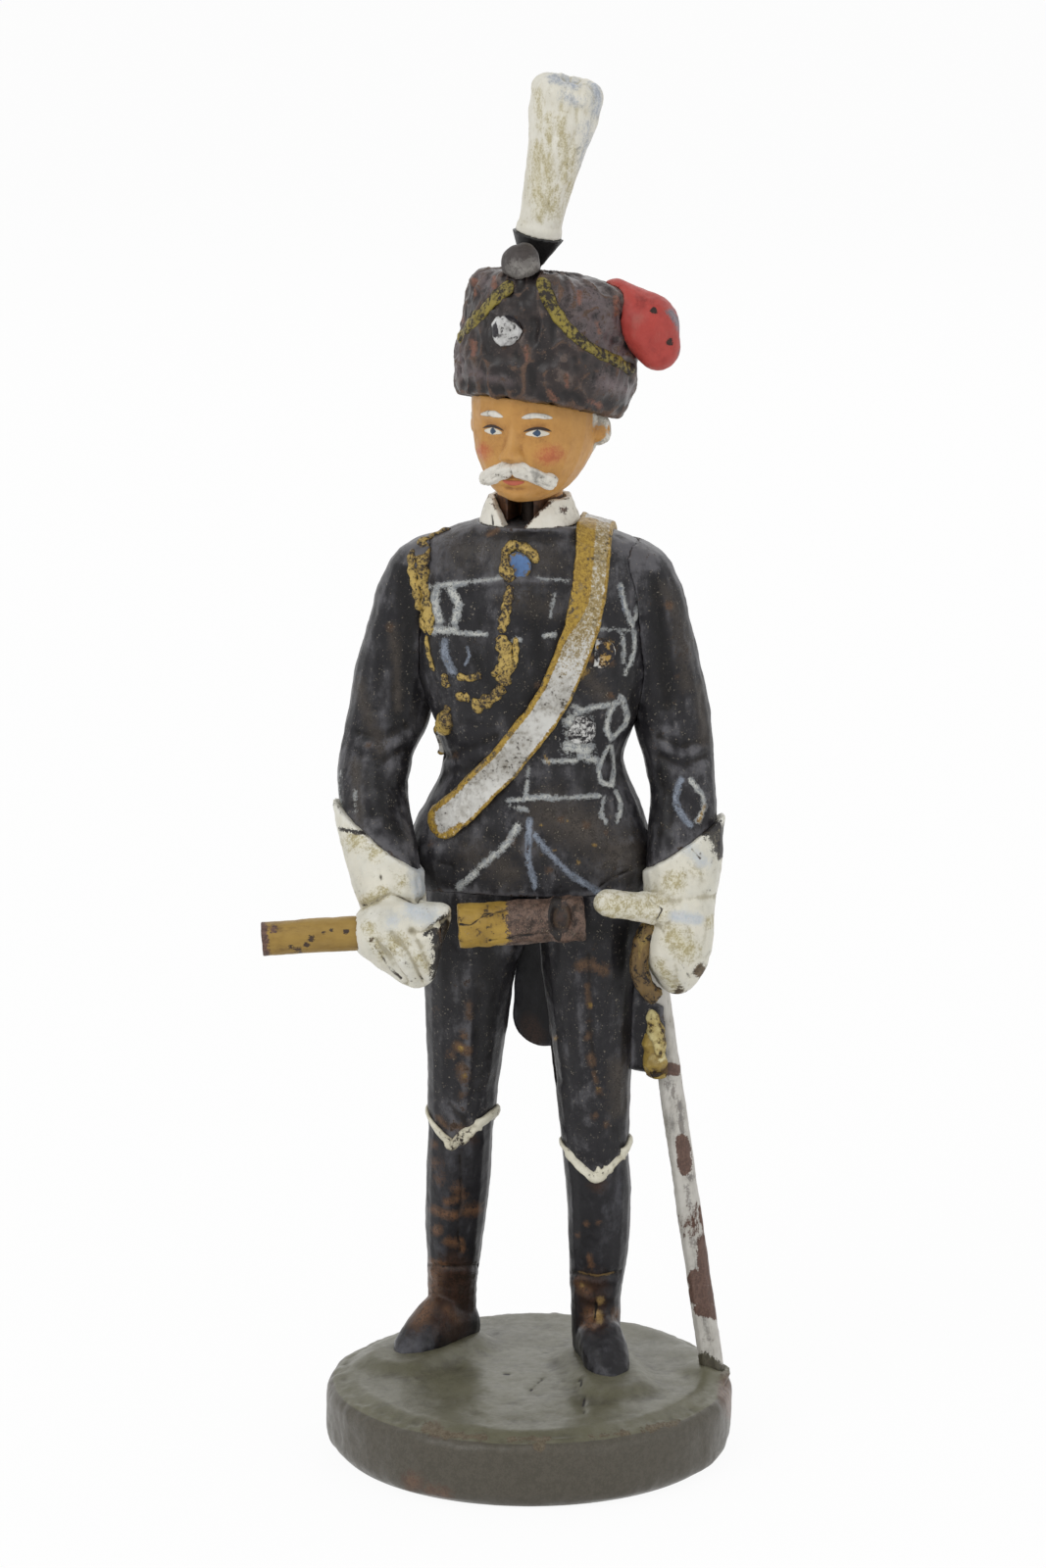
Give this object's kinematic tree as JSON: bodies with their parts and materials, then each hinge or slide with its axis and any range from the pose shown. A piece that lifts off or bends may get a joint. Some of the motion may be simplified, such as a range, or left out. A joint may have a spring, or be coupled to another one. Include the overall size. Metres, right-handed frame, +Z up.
{
  "type": "toy soldier figure",
  "caption": "Standing toy soldier in hussar dress on a round base, moulded over wires, with a head that turns, a plug-in plume and a baton in the fist.",
  "frame": {"origin": "centre of the underside of the round base", "axes": "+Z up, -Y the way the figure faces, +X to its left hand"},
  "size_m": [0.0316, 0.028, 0.0947],
  "materials": {
    "olive_composition": "matte, worn",
    "black_composition": "satin, worn",
    "white_composition": "matte, dirty",
    "flesh_composition": "matte",
    "fur_composition": "matte, worn",
    "red_composition": "satin",
    "gold_composition": "satin, worn",
    "ochre_composition": "matte, worn",
    "blue_composition": "matte",
    "silver_paint": "satin, worn",
    "iron_wire": "rusted",
    "grey_tin": "worn",
    "black_tin": "satin",
    "ochre_wood": "painted, worn"
  },
  "bodies": {
    "figure": {"base": "olive_composition", "leg_wire_right": "iron_wire", "leg_wire_left": "iron_wire", "neck_wire": "iron_wire", "arm_wire_right": "iron_wire", "arm_wire_left": "iron_wire", "boot_right": "black_composition", "boot_left": "black_composition", "boot_lace_right": "white_composition", "boot_lace_left": "white_composition", "breeches_right": "black_composition", "breeches_left": "black_composition", "tunic": "black_composition", "sleeve_right": "black_composition", "sleeve_left": "black_composition", "glove_right": "white_composition", "glove_left": "white_composition", "collar": "white_composition", "pouch_belt": "silver_paint", "cartridge_pouch": "black_composition", "shoulder_cord": "gold_composition", "neck_order": "blue_composition", "breast_stars": "silver_paint", "scabbard": "grey_tin", "sabre_guard": "gold_composition", "sword_knot": "gold_composition", "sabre_sling": "black_composition", "sabretache": "black_composition", "baton_head": "ochre_composition"},
    "head": {"head": "flesh_composition", "moustache": "white_composition", "cap": "fur_composition", "cap_bag": "red_composition", "cap_cords": "gold_composition", "cap_badge": "silver_paint", "cockade": "silver_paint"},
    "plume_socket": {"plume_socket": "black_tin"},
    "plume": {"plume": "white_composition", "plume_wire": "iron_wire"},
    "baton": {"baton_rod": "ochre_wood"}
  },
  "joints": [
    {"name": "head_turn", "type": "hinge", "parent": "figure", "child": "head", "pos_m": [-0.0001, 0.001, 0.0666], "axis": [0, 0, 1], "range_deg": [-20, 45]},
    {"name": "plume_turn", "type": "hinge", "parent": "head", "child": "plume_socket", "pos_m": [0, 0.00033, 0.08186], "axis": [0.2183, -0.0544, 0.9744], "continuous": true},
    {"name": "plume_lift", "type": "slide", "parent": "plume_socket", "child": "plume", "axis": [0.2183, -0.0544, 0.9744], "range_m": [0, 0.0035]},
    {"name": "baton_pull", "type": "slide", "parent": "figure", "child": "baton", "axis": [-0.9922, -0.108, -0.062], "range_m": [0, 0.004]}
  ]
}
